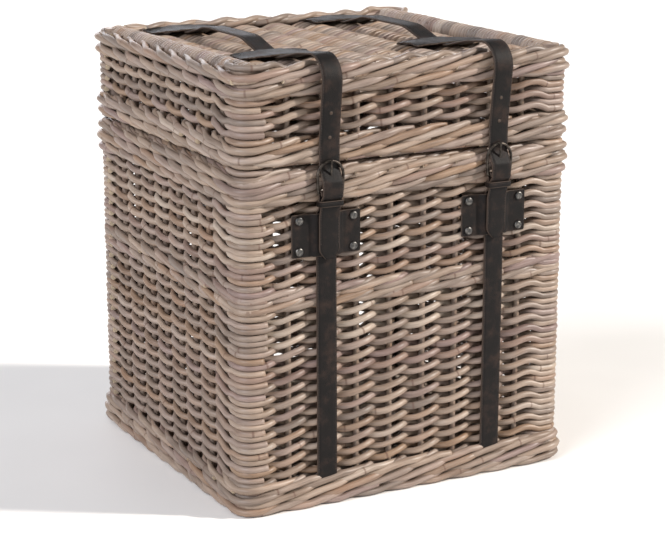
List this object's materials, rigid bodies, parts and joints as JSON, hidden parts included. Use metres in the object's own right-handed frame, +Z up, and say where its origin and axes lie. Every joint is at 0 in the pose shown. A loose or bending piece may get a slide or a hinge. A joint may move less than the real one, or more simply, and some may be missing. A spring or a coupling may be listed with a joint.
{
  "type": "laundry hamper with lid",
  "caption": "Square lidded hamper of twined grey rattan cane with rope-like woven borders, hinged lid and two buckled dark leather straps.",
  "frame": {"origin": "on the floor under the middle of the hamper's box", "axes": "+Z up, -Y the buckled front, +X to the right seen from the front"},
  "size_m": [0.52, 0.526, 0.6092],
  "materials": {
    "rattan_weave": "split and whole grey kubu cane, soft satin",
    "rattan_rope": "thick whole cane twined as rope, soft satin",
    "rattan_pole": "peeled rattan pole and rod, matt",
    "leather": "near-black vegetable-tanned strap leather, waxed",
    "buckle_metal": "antiqued blackened iron",
    "rivet_metal": "gunmetal domed rivets"
  },
  "bodies": {
    "root": {"back_left_post": "rattan_pole", "back_lower_weave": "rattan_weave", "back_right_post": "rattan_pole", "back_stakes": "rattan_pole", "back_upper_weave": "rattan_weave", "base_border": "rattan_rope", "base_panel": "rattan_weave", "base_rods": "rattan_pole", "body_hinge_loops": "rattan_pole", "body_strap_left": "leather", "body_strap_right": "leather", "front_left_post": "rattan_pole", "front_lower_weave": "rattan_weave", "front_right_post": "rattan_pole", "front_stakes": "rattan_pole", "front_upper_weave": "rattan_weave", "hinge_rod": "rattan_pole", "left_lower_weave": "rattan_weave", "left_stakes": "rattan_pole", "left_upper_weave": "rattan_weave", "mid_band": "rattan_rope", "patch_left": "leather", "patch_right": "leather", "right_lower_weave": "rattan_weave", "right_stakes": "rattan_pole", "right_upper_weave": "rattan_weave", "rim_border": "rattan_rope", "rivet_washers_left": "rivet_metal", "rivet_washers_right": "rivet_metal", "rivets_left": "rivet_metal", "rivets_right": "rivet_metal", "strap_loop_left": "leather", "strap_loop_right": "leather"},
    "lid": {"back_keeper_left": "leather", "back_keeper_right": "leather", "front_keeper_left": "leather", "front_keeper_right": "leather", "lid_back_weave": "rattan_weave", "lid_corner_posts": "rattan_pole", "lid_front_weave": "rattan_weave", "lid_hinge_loops": "rattan_pole", "lid_left_edge_rod": "rattan_pole", "lid_left_weave": "rattan_weave", "lid_lower_border": "rattan_rope", "lid_right_edge_rod": "rattan_pole", "lid_right_weave": "rattan_weave", "lid_stakes": "rattan_pole", "lid_strap_left": "leather", "lid_strap_right": "leather", "lid_top_panel": "rattan_weave", "lid_top_rods": "rattan_pole", "lid_upper_border": "rattan_rope"},
    "strap_end_left": {"strap_end_left": "leather"},
    "strap_end_right": {"strap_end_right": "leather"},
    "buckle_left": {"buckle_left": "buckle_metal"},
    "buckle_right": {"buckle_right": "buckle_metal"},
    "prong_left": {"prong_left": "buckle_metal"},
    "prong_right": {"prong_right": "buckle_metal"}
  },
  "joints": [
    {"name": "lid_hinge", "type": "hinge", "parent": "root", "child": "lid", "pos_m": [0, 0.2552, 0.4662], "axis": [-1, 0, 0], "range_deg": [0, 100], "deforming": ["strap_end_left", "strap_end_right"]},
    {"name": "strap_end_left_fold", "type": "hinge", "parent": "lid", "child": "strap_end_left", "pos_m": [-0.129, -0.2516, 0.464], "axis": [-1, 0, 0], "range_deg": [-90, 0]},
    {"name": "strap_end_right_fold", "type": "hinge", "parent": "lid", "child": "strap_end_right", "pos_m": [0.129, -0.2516, 0.464], "axis": [-1, 0, 0], "range_deg": [-90, 0]},
    {"name": "buckle_left_swing", "type": "hinge", "parent": "root", "child": "buckle_left", "pos_m": [-0.129, -0.2552, 0.431], "axis": [1, 0, 0], "range_deg": [0, 80]},
    {"name": "prong_left_swing", "type": "hinge", "parent": "buckle_left", "child": "prong_left", "pos_m": [-0.129, -0.2552, 0.431], "axis": [1, 0, 0], "range_deg": [0, 45]},
    {"name": "buckle_right_swing", "type": "hinge", "parent": "root", "child": "buckle_right", "pos_m": [0.129, -0.2552, 0.431], "axis": [1, 0, 0], "range_deg": [0, 80]},
    {"name": "prong_right_swing", "type": "hinge", "parent": "buckle_right", "child": "prong_right", "pos_m": [0.129, -0.2552, 0.431], "axis": [1, 0, 0], "range_deg": [0, 45]}
  ],
  "couplings": [
    {"joint": "strap_end_left_fold", "follows": "lid_hinge", "ratio": -0.9},
    {"joint": "strap_end_right_fold", "follows": "lid_hinge", "ratio": -0.9}
  ]
}
